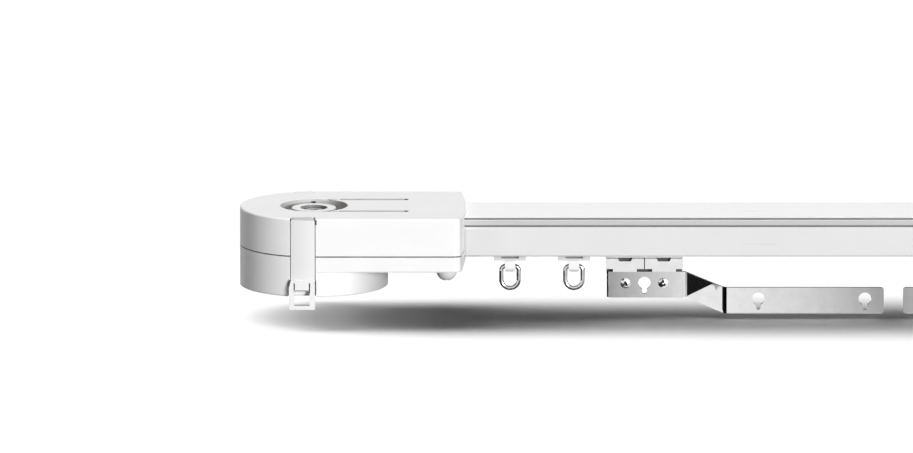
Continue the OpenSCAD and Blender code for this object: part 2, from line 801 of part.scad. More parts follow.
module arm_shape() {
    free_end = leaf_inset - hanger_length / 2;
    root_top = [leaf_end, leaf_y, leaf_top_z];
    root_bottom = [leaf_end, leaf_y, plate_bottom_z];
    crest = [leaf_end + crest_reach, leaf_y - crest_forward, leaf_top_z - crest_drop];
    start_top = [arm_start, arm_y + fold_depth, arm_top_z];
    start_bottom = [arm_start, arm_y + fold_depth, arm_top_z - arm_height];
    fold = [fold_length, -fold_depth, 0];
    difference() {
        union() {
            block([free_end, leaf_y, plate_bottom_z], [leaf_end, leaf_y + sheet, leaf_top_z]);
            facet([root_top, root_bottom, crest]);
            facet([root_bottom, crest, start_bottom]);
            facet([crest, start_top, start_bottom]);
            facet([start_top, start_bottom, start_top + fold, start_bottom + fold]);
            plate(arm_y, sheet) polygon(concat(
                [[arm_start + fold_length, arm_top_z - arm_height]],
                arc([arm_tip - arm_corner, arm_top_z - arm_height + arm_corner], arm_corner, -90, 0),
                arc([arm_tip - arm_corner, arm_top_z - arm_corner], arm_corner, 0, 90),
                [[arm_start + fold_length, arm_top_z]]
            ));
        }
        keyhole(0, keyhole_z, slide_gap);
        for (x = [arm_tip - keyhole_inset, arm_tip - keyhole_inset - keyhole_pitch])
            keyhole(x, arm_keyhole_z, 0);
        for (s = [-1, 1]) y_bar(rivet_r + press_gap, 2 * box_radius, s * rivet_place, keyhole_z);
    }
}

// Rivets through the hanger and the root of the pull arm
module rivet_shapes() {
    ball_r = (rivet_head_r ^ 2 + rivet_head_height ^ 2) / (2 * rivet_head_height);
    for (s = [-1, 1]) translate([s * rivet_place, plate_front_y, keyhole_z]) rotate([-90, 0, 0]) {
        post(rivet_r, 0, 2 * sheet);
        post(rivet_head_r, 2 * sheet, 2 * sheet + rivet_head_height / 2);
        intersection() {
            translate([0, 0, ball_r - rivet_head_height]) sphere(r = ball_r);
            post(rivet_head_r, -rivet_head_height, 0);
        }
    }
}

module clamp_peg(gap) {
    depth = peg_depth + gap;
    translate([0, depth - body_y, belt_z]) rotate([90, 0, 0]) cylinder(r = peg_r + gap, h = depth);
}

// Clamp that reaches from the chassis round the front run of the belt
module clamp_shape() {
    half = clamp_length / 2;
    room_y = belt_thickness / 2 + slide_gap;
    room_z = belt_width / 2 + slide_gap;
    clamp_peg(0);
    difference() {
        block([-half, -belt_y - room_y - clamp_leg, belt_z - room_z - clamp_leg],
            [half, -body_y, belt_z + room_z + clamp_leg]);
        block([-half - past, -belt_y - room_y, belt_z - room_z],
            [half + past, -belt_y + room_y, belt_z + room_z]);
    }
}

// Carrier and runner places; the right side is the left side turned half round
module at_carrier(side) {
    rotate(side == "left" ? 0 : 180) translate([-carrier_x, 0, 0]) children();
}

module at_mirrored_carrier(side) {
    if (side == "left") translate([-carrier_x, 0, 0]) children();
    else mirror([1, 0, 0]) translate([-carrier_x, 0, 0]) children();
}

module rail() {
    half = rail_width / 2;
    groove_z = -clip_groove_drop - clip_groove_height / 2;
    color(white) along_x(-rail_length / 2, rail_length / 2) difference() {
        union() {
            difference() {
                polygon([
                    [-half, 0], [-half, rail_bottom_z + rail_chamfer], [rail_chamfer - half, rail_bottom_z],
                    [half - rail_chamfer, rail_bottom_z], [half, rail_bottom_z + rail_chamfer], [half, 0],
                ]);
                translate([rail_wall - half, track_z])
                    square([rail_width - 2 * rail_wall, rail_height - 2 * rail_wall]);
            }
            for (s = [0, 1]) mirror([s, 0]) {
                translate([half - clip_wall, -clip_wall_height]) square([clip_wall, clip_wall_height]);
                translate([rib_y, -rail_wall - rib_height]) square([rib_thickness, rib_height]);
                translate([rib_y, track_z]) square([rib_thickness, rib_height]);
            }
        }
        translate([-slot_width / 2, rail_bottom_z - past]) square([slot_width, rail_wall + 2 * past]);
        for (s = [0, 1], i = [0, 1]) mirror([s, 0])
            translate([half - clip_groove_depth, groove_z - i * clip_groove_pitch])
                square([clip_groove_depth + past, clip_groove_height]);
    }
}

module belt() {
    color(dark) difference() {
        belt_loop(belt_y + belt_thickness / 2, 0);
        belt_loop(belt_y - belt_thickness / 2, past);
    }
}

module belt_loop(r, extra) {
    low = belt_z - belt_width / 2 - extra;
    high = belt_z + belt_width / 2 + extra;
    for (s = [-1, 1]) translate([s * pulley_x, 0, 0]) post(r, low, high);
    block([-pulley_x, -r, low], [pulley_x, r, high]);
}

module drive_upper_shell() {
    cup_r = recess_r + recess_floor;
    bush_hole_r = hub_r + running_gap + bush_wall + press_gap;
    window_r = bush_hole_r + slide_gap;
    color(white) at_drive() difference() {
        union() {
            upper_form();
            intersection() {
                post(cup_r, recess_z - recess_floor, rail_fit);
                block([-cup_r - past, -cup_r - past, recess_z - recess_floor],
                    [pulley_offset - slide_gap, cup_r + past, rail_fit]);
            }
            front_and_back() latch_pocket(seam_z, rail_fit);
        }
        rail_passage();
        screw_pilots();
        post(recess_r, recess_z, roof_height + past);
        post(bush_hole_r, recess_z - recess_floor - past, roof_height);
        recess_window(window_r);
        index_pin_shape(press_gap);
        front_and_back() {
            latch_room();
            latch_pin(press_gap);
            top_groove();
        }
    }
}

// Opening in the recess floor on the rail's side
module recess_window(inner_r) {
    low = recess_z - recess_floor - past;
    reach = 2 * recess_r;
    difference() {
        intersection() {
            post(recess_r - slide_gap, low, recess_z + past);
            translate([0, 0, low]) linear_extrude(recess_depth) polygon([
                [0, 0], reach * [cos(window_angle), -sin(window_angle)], [2 * reach, 0],
                reach * [cos(window_angle), sin(window_angle)],
            ]);
        }
        post(inner_r, low - past, recess_z + 2 * past);
    }
}

// Straight groove in the top with a small round hole at its end
module top_groove() {
    low = roof_height - top_groove_depth;
    outer_y = slide_gap - recess_r;
    block([recess_r / 8, outer_y, low], [top_groove_reach, outer_y + top_groove_width, roof_height + past]);
    translate([top_groove_reach, outer_y + top_groove_width / 2, 0])
        post(top_groove_hole_r, roof_height - 2 * top_groove_depth, roof_height + past);
}

module drive_lower_shell() {
    bush_hole_r = shaft_r + running_gap + bush_wall + press_gap;
    color(white) at_drive() difference() {
        union() {
            difference() {
                lower_form();
                post(box_radius - box_wall, ceiling_z, seam_z + past);
            }
            post(box_radius, base_z, ceiling_z);
            at_places(inner_screw_places) post(boss_r, ceiling_z, seam_z);
            at_places(end_screw_places) post(boss_r, floor_z, seam_z);
            post(bush_hole_r + bush_wall, ceiling_z, ceiling_z + socket_ceiling);
            front_and_back() latch_pocket(ceiling_z, seam_z);
        }
        rail_passage();
        post(socket_r, base_z - past, socket_z);
        post(bush_hole_r, base_z, seam_z);
        lower_screw_holes(socket_z);
        front_and_back() latch_room();
    }
}

// Lower half of a box: floor, side wall with the groove at the parting line, and rail seat
module lower_form() {
    cavity_z = rail_bottom_z - rail_fit;
    intersection() {
        difference() {
            union() {
                box_form(floor_z, seam_z - seam_groove, 0, 0, 0);
                box_form(seam_z - seam_groove - past, seam_z, seam_groove, 0, 0);
            }
            box_form(cavity_z, seam_z + past, box_wall, 0, 0);
        }
        heel_trim();
    }
}

module lower_screw_holes(inner_face_z) {
    at_places(end_screw_places) post(screw_r + press_gap, floor_z - past, seam_z + past);
    at_places(inner_screw_places) {
        post(screw_r + press_gap, inner_face_z - past, seam_z + past);
        post(inner_head_r + press_gap, inner_face_z - past, inner_face_z + inner_head_height);
    }
}

module drive_end_screws() {
    color(grey) at_drive() at_places(end_screw_places) dome_screw();
}

module drive_inner_screws() {
    color(steel) at_drive() at_places(inner_screw_places)
        shell_screw(socket_z, socket_z + inner_head_height);
}

module upper_bush() {
    inner_r = hub_r + running_gap;
    color(bronze) at_drive() difference() {
        post(inner_r + bush_wall, recess_z - recess_floor, recess_z);
        post(inner_r, recess_z - recess_floor - past, recess_z + past);
    }
}

module lower_bush() {
    inner_r = shaft_r + running_gap;
    color(bronze) at_drive() difference() {
        post(inner_r + bush_wall, socket_z, ceiling_z + socket_ceiling);
        post(inner_r, socket_z - past, ceiling_z + socket_ceiling + past);
    }
}

module index_pin_shape(gap) {
    translate([0, recess_r - index_pin_room - index_pin_r, 0])
        post(index_pin_r + gap, recess_z - recess_floor / 2 - gap, roof_height - hub_drop);
}

module index_pin() {
    color(dark) at_drive() index_pin_shape(0);
}

module drive_pulley() {
    hub_z = roof_height - hub_drop;
    low_z = ceiling_z + socket_ceiling + roll_gap;
    color(white) at_drive() difference() {
        union() {
            pulley_rim();
            post(hub_r, rim_top_z, hub_z);
            post(lower_hub_r, low_z, rim_bottom_z);
        }
        post(shaft_r + press_gap, low_z - past, hub_z + past);
    }
}

module drive_shaft() {
    shoulder_z = recess_z - recess_floor / 2;
    tip_z = roof_height - 2 * hub_drop;
    color(steel) at_drive() difference() {
        union() {
            post(shaft_r, socket_z, shoulder_z);
            post(shaft_tip_r, shoulder_z, tip_z);
        }
        translate([0, 0, socket_z - past]) cylinder(d = hex_width / cos(30), h = hex_depth + past, $fn = 6);
        translate([0, 0, tip_z - hub_drop]) cylinder(d = shaft_tip_r, h = hub_drop + past, $fn = 6);
    }
}

module latch_front() {
    color(white) at_drive() latch();
}

module latch_back() {
    color(white) at_drive() mirror([0, 1, 0]) latch();
}

module latch_pins() {
    color(dark) at_drive() front_and_back() latch_pin(0);
}

module idler_upper_shell() {
    boss_z = rim_top_z + flange_thickness + slide_gap;
    color(white) at_idler() difference() {
        union() {
            upper_form();
            post(idler_boss_r, boss_z, rail_fit);
        }
        rail_passage();
        screw_pilots();
        post(idler_axle_r + press_gap, boss_z - past, 0);
    }
}

module idler_lower_shell() {
    deck_z = floor_z + idler_floor;
    boss_z = rim_bottom_z - flange_thickness - slide_gap;
    color(white) at_idler() difference() {
        union() {
            difference() {
                lower_form();
                post(box_radius - box_wall, deck_z, seam_z + past);
            }
            at_places(concat(inner_screw_places, end_screw_places)) post(boss_r, floor_z, seam_z);
            post(idler_boss_r, floor_z, boss_z);
        }
        rail_passage();
        post(idler_axle_r + press_gap, deck_z, boss_z + past);
        lower_screw_holes(floor_z);
    }
}

module idler_screws() {
    color(grey) at_idler() {
        at_places(end_screw_places) dome_screw();
        at_places(inner_screw_places) shell_screw(floor_z, floor_z + inner_head_height);
    }
}

module idler_axle() {
    color(steel) at_idler() post(idler_axle_r, floor_z + idler_floor, 0);
}

module idler_bush() {
    inner_r = idler_axle_r + running_gap;
    color(bronze) at_idler() difference() {
        post(inner_r + bush_wall, rim_bottom_z - flange_thickness, rim_top_z + flange_thickness);
        post(inner_r, rim_bottom_z - 2 * flange_thickness, rim_top_z + 2 * flange_thickness);
    }
}

module idler_pulley() {
    color(white) at_idler() difference() {
        pulley_rim();
        post(idler_axle_r + running_gap + bush_wall + press_gap, rim_bottom_z - 2 * flange_thickness,
            rim_top_z + 2 * flange_thickness);
    }
}

module carrier_chassis(side) {
    color(dark) {
        at_carrier(side) chassis_shape();
        at_mirrored_carrier(side) chassis_tongue();
    }
}

module carrier_hanger(side) {
    color(chrome) at_mirrored_carrier(side) hanger_shape();
}

module carrier_arm(side) {
    color(chrome) at_mirrored_carrier(side) arm_shape();
}

module carrier_rivets(side) {
    color(chrome) at_mirrored_carrier(side) rivet_shapes();
}

module carrier_clamp(side) {
    color(grey) at_carrier(side) clamp_shape();
}

module carrier_wheels(side, place) {
    color(grey) at_mirrored_carrier(side) wheelset(place == "outer" ? -wheel_place : wheel_place);
}

module at_runner(side, place) {
    distance = place == "outer" ? runner_outer_x : runner_inner_x;
    translate([side == "left" ? -distance : distance, 0, 0]) children();
}

module runner(side, place) {
    color(white) at_runner(side, place) runner_shape();
}

module runner_wheels(side, place) {
    color(grey) at_runner(side, place) wheelset(0);
}

module runner_ring(side, place) {
    color(chrome) at_runner(side, place) ring_shape();
}

rail();
belt();
drive_upper_shell();
drive_lower_shell();
drive_end_screws();
drive_inner_screws();
upper_bush();
lower_bush();
index_pin();
drive_pulley();
drive_shaft();
latch_front();
latch_back();
latch_pins();
idler_upper_shell();
idler_lower_shell();
idler_screws();
idler_axle();
idler_bush();
idler_pulley();
for (side = ["left", "right"]) {
    carrier_chassis(side);
    carrier_hanger(side);
    carrier_arm(side);
    carrier_rivets(side);
    carrier_clamp(side);
    for (place = ["outer", "inner"]) {
        carrier_name = str("carrier_", side, "_", place);
        runner_name = str("runner_", side, "_", place);
        carrier_wheels(side, place);
        runner(side, place);
        runner_wheels(side, place);
        runner_ring(side, place);
    }
}
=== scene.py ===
"""Looks of an electric curtain track: finishes, rounded mouldings and sheet metal, wire rings."""

import json
import math

import bmesh
import bpy
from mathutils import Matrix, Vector


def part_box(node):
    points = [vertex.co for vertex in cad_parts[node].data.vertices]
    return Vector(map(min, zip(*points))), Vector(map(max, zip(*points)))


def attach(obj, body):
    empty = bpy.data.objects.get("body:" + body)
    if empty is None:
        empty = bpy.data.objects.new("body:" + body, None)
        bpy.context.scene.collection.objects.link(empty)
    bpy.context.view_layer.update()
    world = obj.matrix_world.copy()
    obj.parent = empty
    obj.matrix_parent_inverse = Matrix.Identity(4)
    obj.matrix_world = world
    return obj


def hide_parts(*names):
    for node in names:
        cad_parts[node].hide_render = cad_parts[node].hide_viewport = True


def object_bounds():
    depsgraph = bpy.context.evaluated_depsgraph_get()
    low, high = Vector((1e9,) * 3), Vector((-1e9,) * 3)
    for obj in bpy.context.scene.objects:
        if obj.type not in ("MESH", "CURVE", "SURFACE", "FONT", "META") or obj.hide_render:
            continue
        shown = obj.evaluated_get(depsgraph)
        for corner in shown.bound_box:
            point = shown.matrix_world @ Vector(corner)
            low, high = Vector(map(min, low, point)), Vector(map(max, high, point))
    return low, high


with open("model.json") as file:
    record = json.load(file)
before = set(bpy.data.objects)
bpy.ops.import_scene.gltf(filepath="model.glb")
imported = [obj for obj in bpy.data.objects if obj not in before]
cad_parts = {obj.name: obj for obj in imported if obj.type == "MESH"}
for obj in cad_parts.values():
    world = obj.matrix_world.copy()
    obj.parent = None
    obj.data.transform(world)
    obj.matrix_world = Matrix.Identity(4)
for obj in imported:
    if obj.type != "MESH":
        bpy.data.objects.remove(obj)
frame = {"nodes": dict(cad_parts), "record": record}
cad_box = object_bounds()

bl_info = {
    "name": "Electric curtain track",
    "version": (1, 0, 0),
    "blender": (4, 5, 0),
    "location": "3D View > Sidebar > Track",
    "description":
        "Dresses the packed curtain track with its mouldings, sheet metal, rings and finishes",
    "category": "Object",
}

SIDES = ("left", "right")
PLACES = ("outer", "inner")
BODY_OF = {node: body for body, nodes in frame["record"]["behaviour"]["bodies"].items()
           for node in nodes}

# Where the finishes and their painted light, shade and reflections change along the axes of the
# track, in metres
DRIVE_AXIS_X = -0.2663
RAIL_TOP_Z = (-0.0004, 0.001)
RAIL_RIB_Z = (-0.0047, -0.0018)
RAIL_WEB_Z = (-0.03, -0.0059)
RAIL_GROOVES_Y = (0.0159, 0.01712)
RAIL_GROOVES_Z = (-0.0058, -0.0008)
RAIL_SHADE_X = 0.176
RAIL_JOINT_X = (0.1964, 0.2)
PARTING_Z = (-0.01585, -0.01535)
TOP_GROOVE_X = (-0.2545, -0.2228)
TOP_GROOVE_Y = (0.0123, 0.0157)
TOP_GROOVE_Z = (-0.002, 0.0021)
TOP_DOT_X = (-0.2247, -0.2233)
RECESS_RADIUS = 0.0185
RECESS_Z = (-0.004, 0.0019)
BASE_SHADE_X = -0.250
BASE_Z = (-0.036, -0.02285)
BASE_RIM_Z = (-0.0352, -0.0337)
HEEL_SHADE_X = -0.252
HEEL_Z = (-0.0233, -0.0223)
CORNER_X = 0.2002
CORNER_Y = 0.0285
HINGE_X = (-0.2662, -0.2648)
HINGE_Y = (0.0320, 0.0350)
HINGE_Z = (-0.0006, 0.0017)
LATCH_STEP_X = (-0.2750, -0.2683)
LATCH_STEP_Z = (-0.0319, -0.0309)
LATCH_TOP_Z = (0.0015, 0.0022)
FRONT_HALF_Y = (-0.04, 0.0)
HUB_RING_RADII = (0.0036, 0.0064)
ARM_FOLD_X = (0.0766, 0.0783)
ARM_LEAF_X = (0.1310, 0.1330)
CHASSIS_BACK_Y = (-0.0009, 0.02)
NOTCH_Y = (0.0, 0.00465)
NOTCH_Z = (-0.02178, -0.0180)
FOOT_Z = (-0.02275, -0.0180)

# How strong the painted shade in those places is, from 0 for the plain finish to 1 for the dark
# tone
RAIL_JOINT_SHADE = 0.3
TOP_GROOVE_SHADE = 0.5
RECESS_SHADE = 0.32
RECESS_SHADE_PER_METRE = 14.0
BASE_RIM_SHADE = 0.25
HINGE_SHADE = 0.95
LATCH_STEP_SHADE = 0.6
LATCH_TOP_SHADE = 0.4
HUB_RING_SHADE = 0.75
NOTCH_SHADE = 0.8
FOOT_SHADE = 0.25

# Edge radii that only the shading has, in metres
SOFT_EDGE = 0.0003
SMALL_EDGE = 0.0002
FINE_EDGE = 0.0001
PLATED_EDGE = 0.00005

# How solids get rounded edges, and how round the wire is
WELD_DISTANCE = 2e-6
FLAT_ANGLE = math.radians(0.6)
SHARP_ANGLE = math.radians(40.0)
BEVEL_STEPS = 3
MOULDED_FOLD = math.radians(30.0)
SHEET_FOLD = math.radians(2.0)
SHEET_SHORTEST = 0.005
WIRE_SIDES = 24
CORNER_STEPS = 10
ROUND_STEPS = 40

# Camera, floor and lamps
SENSOR_WIDTH = 36.0
CLIP_END = 100.0
WHITE = (1.0, 1.0, 1.0, 1.0)
FLOOR_REACH = 30.0
DIM_FLOOR = (0.25, 0.25, 0.25, 1.0)
FLAG_CLOTH = (0.02, 0.02, 0.02, 1.0)
FLAG_X = (-0.25, 0.25)
FLAG_Y = (-0.04, 0.04)
FLAG_Z = -0.005
FLOOR_LIGHTS_X = (-0.2, -0.65, -1.2, -2.1, -4.2)
FLOOR_LIGHTS_Y = 0.14
OVERHEAD_FROM = (0.0, -0.1, 1.0)
OVERHEAD_SPREAD = math.radians(40.0)
FRONT_SPREAD = math.radians(18.0)
BACK_FROM = (0.0, 1.0, 0.0)
BACK_SPREAD = math.radians(4.0)

# Sheets for the reflections in the left half: name, X, Y, place, grey tones along X
CARD_LIFT = 0.0002
UNDER_RAIL_Z = -0.0188
BACK_CARD_TOP_Z = -0.002
BLACK_CARD = ((0.0, 0.012), (1.0, 0.012))
WHITE_CARD = ((0.0, 1.0), (1.0, 1.0))
CARDS = (
    ("box", (-0.300, -0.192), (-0.110, 0.060), "floor", BLACK_CARD),
    ("twist", (-0.192, -0.1345), (-0.062, -0.0215), "floor", BLACK_CARD),
    ("root", (-0.1345, -0.128), (-0.047, -0.0215), "floor", BLACK_CARD),
    ("plate", (-0.134, -0.090), (-0.130, -0.0485), "floor", ((0.0, 0.38), (1.0, 0.97))),
    ("arm", (-0.077, 0.0), (-0.090, -0.0185), "floor", ((0.0, 1.0), (0.5, 0.80), (1.0, 0.40))),
    ("white", (-0.125, 0.0), (-0.018, -0.004), "floor", WHITE_CARD),
    ("rail", (-0.190, -0.001), (-0.0172, -0.0012), "rail", WHITE_CARD),
    ("back", (-0.230, 0.0), (0.080, 0.080), "back", BLACK_CARD),
)


class Value:
    """One shader socket that Python's operators work on."""

    def __init__(self, finish, socket):
        self.finish = finish
        self.socket = socket

    def maths(self, operation, first, second):
        return self.finish.node("ShaderNodeMath", {"operation": operation}, {0: first, 1: second})

    def __add__(self, other):
        return self.maths("ADD", self, other)

    def __radd__(self, other):
        return self.maths("ADD", other, self)

    def __sub__(self, other):
        return self.maths("SUBTRACT", self, other)

    def __rsub__(self, other):
        return self.maths("SUBTRACT", other, self)

    def __mul__(self, other):
        return self.maths("MULTIPLY", self, other)

    def __rmul__(self, other):
        return self.maths("MULTIPLY", other, self)

    def __pow__(self, other):
        return self.maths("POWER", self, other)

    def __abs__(self):
        return self.maths("ABSOLUTE", self, 0.0)

    def within(self, low, high):
        """One inside a range and nought outside it."""
        return self.maths("GREATER_THAN", self, low) * self.maths("LESS_THAN", self, high)

    def at_least(self, other):
        return self.maths("MAXIMUM", self, other)

    def at_most(self, other):
        return self.maths("MINIMUM", self, other)

    def rising(self, start, slope, most):
        """Nought up to a start, then a straight rise up to a limit."""
        return ((self - start) * slope).at_least(0.0).at_most(most)


class Finish:
    """A node tree under construction, with one way to add a node."""

    def __init__(self, tree):
        self.tree = tree
        tree.nodes.clear()

    def feed(self, socket, value):
        if isinstance(value, Value):
            self.tree.links.new(value.socket, socket)
        else:
            socket.default_value = value

    def node(self, kind, settings=None, inputs=None, output=0):
        """Adds a node, sets it up, feeds its sockets and gives one of its outputs."""
        made = self.tree.nodes.new(kind)
        for name, setting in (settings or {}).items():
            if name == "stops":
                self.set_stops(made.color_ramp, setting)
            else:
                setattr(made, name, setting)
        for key, value in (inputs or {}).items():
            self.feed(made.inputs[key], value)
        return Value(self, made.outputs[output]) if made.outputs else None

    def set_stops(self, ramp, stops):
        while len(ramp.elements) < len(stops):
            ramp.elements.new(0.5)
        for element, (position, colour) in zip(ramp.elements, stops):
            element.position = position
            element.color = colour

    def place(self):
        return self.node("ShaderNodeTexCoord", output="Object")

    def along(self, axis):
        return self.node("ShaderNodeSeparateXYZ", {}, {0: self.place()}, output=axis)

    def stretched(self, factors):
        return self.node(
            "ShaderNodeVectorMath", {"operation": "MULTIPLY"}, {0: self.place(), 1: factors})

    def noise(self, scale, detail=2.0, place=None):
        return self.node(
            "ShaderNodeTexNoise", {"noise_dimensions": "3D"},
            {"Vector": place or self.place(), "Scale": scale, "Detail": detail},
        )

    def spread(self, value, low, high):
        """Maps the middle of a noise to a range."""
        return self.node(
            "ShaderNodeMapRange", {"clamp": True},
            {"Value": value, "From Min": 0.3, "From Max": 0.7, "To Min": low, "To Max": high},
        )

    def tone(self, colour, mask, low, high):
        """A colour that is darkened or lightened by a mask between two factors."""
        dark = tuple(channel * low for channel in colour[:3]) + (1.0,)
        light = tuple(min(1.0, channel * high) for channel in colour[:3]) + (1.0,)
        return self.node(
            "ShaderNodeMix", {"data_type": "RGBA", "blend_type": "MIX"},
            {0: mask, 6: dark, 7: light}, output=2,
        )

    def shaded(self, colour, mask, grey):
        """A colour that goes over to a grey under a mask, if there is one."""
        if mask is None:
            return colour
        return self.node(
            "ShaderNodeMix", {"data_type": "RGBA", "blend_type": "MIX"},
            {0: mask, 6: colour, 7: (grey, grey, grey, 1.0)}, output=2,
        )

    def ramp(self, value, stops):
        """Grey tones at given places along a value."""
        greys = [(at, (tone, tone, tone, 1.0)) for at, tone in stops]
        return self.node("ShaderNodeValToRGB", {"stops": greys}, {0: value})

    def relief(self, height, depth, strength, edge):
        """Normals with softened edges and a fine relief."""
        rounded = self.node("ShaderNodeBevel", {"samples": 4}, {"Radius": edge})
        return self.node(
            "ShaderNodeBump", {},
            {"Strength": strength, "Distance": depth, "Height": height, "Normal": rounded},
        )

    def surface(self, inputs):
        shader = self.node("ShaderNodeBsdfPrincipled", {}, inputs)
        self.node_output(shader)

    def node_output(self, shader, kind="ShaderNodeOutputMaterial"):
        self.node(kind, {}, {"Surface": shader})


def new_finish(name):
    material = bpy.data.materials.new(name)
    material.use_nodes = True
    return material, Finish(material.node_tree)


def moulded(name, colour, roughness, edge, specular=0.45, painted_shade=None):
    """Moulded plastic: a fine eroded grain, faint flow clouds, uneven gloss, and painted shade
    where a mask of it is given.
    """
    material, finish = new_finish(name)
    dark = painted_shade(finish) if painted_shade else None
    grain = finish.noise(scale=7000.0, detail=3.0)
    clouds = finish.noise(scale=55.0, detail=4.0)
    rubs = finish.noise(scale=900.0, detail=3.0, place=finish.stretched((0.25, 1.0, 1.0)))
    plastic = finish.tone(colour, finish.spread(clouds, 0.0, 1.0), low=0.975, high=1.01)
    finish.surface({
        # painted shade: where a mask is given, the colour goes over to dark grey there
        "Base Color": finish.shaded(plastic, dark, grey=0.06),
        "Roughness": finish.spread(clouds * 0.6 + rubs * 0.4, roughness - 0.06, roughness + 0.07),
        "Specular IOR Level": specular,
        "Normal": finish.relief(grain, depth=0.00003, strength=0.10, edge=edge),
    })
    return material


def powder_coated(name, colour, edge):
    """Powder coat on the rail: orange peel and die lines, with painted light on the top, and
    painted shade on the rib, in the clip grooves and beside the boxes.
    """
    material, finish = new_finish(name)
    peel = finish.noise(scale=1500.0, detail=2.0)
    lines = finish.noise(scale=420.0, detail=3.0, place=finish.stretched((0.012, 1.0, 1.0)))
    clouds = finish.noise(scale=24.0, detail=3.0)
    height = finish.along("Z")
    grooves = abs(finish.along("Y")).within(*RAIL_GROOVES_Y) * height.within(*RAIL_GROOVES_Z)
    coat = finish.tone(colour, finish.spread(clouds, 0.0, 1.0), low=0.98, high=1.008)
    # painted light: the top face of the rail is made lighter, as if lit from above
    coat = finish.shaded(coat, height.within(*RAIL_TOP_Z), grey=0.79)
    # painted shade: the rib on the front is made darker
    coat = finish.shaded(coat, height.within(*RAIL_RIB_Z), grey=0.475)
    # painted shade: the web darkens towards the boxes, with a darker line where it meets them
    out = abs(finish.along("X"))
    beside = out.rising(RAIL_SHADE_X, slope=7.6, most=0.16)
    beside = beside.at_least(out.within(*RAIL_JOINT_X) * RAIL_JOINT_SHADE)
    coat = finish.shaded(coat, beside * height.within(*RAIL_WEB_Z), grey=0.0)
    finish.surface({
        # painted shade: the clip grooves are made dark grey
        "Base Color": finish.shaded(coat, grooves, grey=0.2),
        "Roughness": finish.spread(lines * 0.5 + clouds * 0.5, 0.25, 0.36),
        "Specular IOR Level": 0.5,
        "Coat Weight": finish.spread(clouds, 0.7, 0.95),
        "Coat Roughness": 0.12,
        "Normal": finish.relief(peel * 0.6 + lines * 0.3, depth=0.00004, strength=0.12, edge=edge),
    })
    return material


def plated(name, colour, roughness, edge, painted_reflection=None):
    """Bright plating on sheet or wire: a faint roll direction, haze, a slow ripple, and painted
    dark reflections where a mask of them is given.
    """
    material, finish = new_finish(name)
    dark = painted_reflection(finish) if painted_reflection else None
    rolled = finish.noise(scale=1600.0, detail=3.0, place=finish.stretched((0.03, 1.0, 1.0)))
    haze = finish.noise(scale=190.0, detail=4.0)
    ripple = finish.noise(scale=75.0, detail=1.0)
    plating = finish.tone(colour, finish.spread(haze, 0.0, 1.0), low=0.95, high=1.03)
    finish.surface({
        # painted reflection: under the mask the plating turns near black
        "Base Color": finish.shaded(plating, dark, grey=0.004),
        "Metallic": 1.0,
        "Roughness": finish.spread(haze * 0.5 + rolled * 0.5, roughness * 0.6, roughness * 1.5),
        "Normal": finish.relief(ripple + rolled * 0.03, depth=0.0004, strength=0.05, edge=edge),
    })
    return material


def blackened(name, colour, edge):
    """Steel that is near black in random patches and bright elsewhere: the dark patches are painted
    reflections of dark surroundings.
    """
    material, finish = new_finish(name)
    patches = finish.noise(scale=520.0, detail=2.0)
    painted_reflection_mix = finish.spread(patches, -1.2, 2.2).at_least(0.0).at_most(1.0)
    scratches = finish.noise(scale=3000.0, detail=2.0)
    finish.surface({
        # painted reflections: random patches go near black, standing in for dark surroundings
        # mirrored in the metal
        "Base Color": finish.tone(colour, painted_reflection_mix, low=0.03, high=1.0),
        "Metallic": 1.0,
        "Roughness": finish.spread(scratches, 0.12, 0.3),
        "Normal": finish.relief(painted_reflection_mix + scratches * 0.05, depth=0.0001, strength=0.3, edge=edge),
    })
    return material


def turned_metal(name, colour, roughness, edge):
    """Turned or drawn metal: fine tool marks and patchy gloss."""
    material, finish = new_finish(name)
    turns = finish.noise(scale=5200.0, detail=2.0, place=finish.stretched((1.0, 1.0, 0.08)))
    patches = finish.noise(scale=260.0, detail=3.0)
    finish.surface({
        "Base Color": finish.tone(colour, finish.spread(patches, 0.0, 1.0), low=0.88, high=1.06),
        "Metallic": 1.0,
        "Roughness": finish.spread(
            patches * 0.5 + turns * 0.5, roughness - 0.08, roughness + 0.1),
        "Normal": finish.relief(turns, depth=0.00003, strength=0.14, edge=edge),
    })
    return material


def rubber(name, colour, edge):
    """Belt rubber: matt, dusted, with a cloth backing that shows as a fine cross weave."""
    material, finish = new_finish(name)
    weave = finish.noise(scale=2600.0, detail=1.0, place=finish.stretched((1.0, 1.0, 0.35)))
    dust = finish.noise(scale=140.0, detail=5.0)
    finish.surface({
        "Base Color": finish.tone(colour, finish.spread(dust, 0.0, 1.0), low=0.8, high=1.35),
        "Roughness": finish.spread(dust, 0.62, 0.86),
        "Normal": finish.relief(weave, depth=0.00006, strength=0.3, edge=edge),
    })
    return material


def strongest(mask, *others):
    """The largest of several masks."""
    for other in others:
        mask = mask.at_least(other)
    return mask


def from_axis(finish):
    """Distance from the axis of the drive pulley."""
    x, y = finish.along("X") - DRIVE_AXIS_X, finish.along("Y")
    return (x * x + y * y) ** 0.5


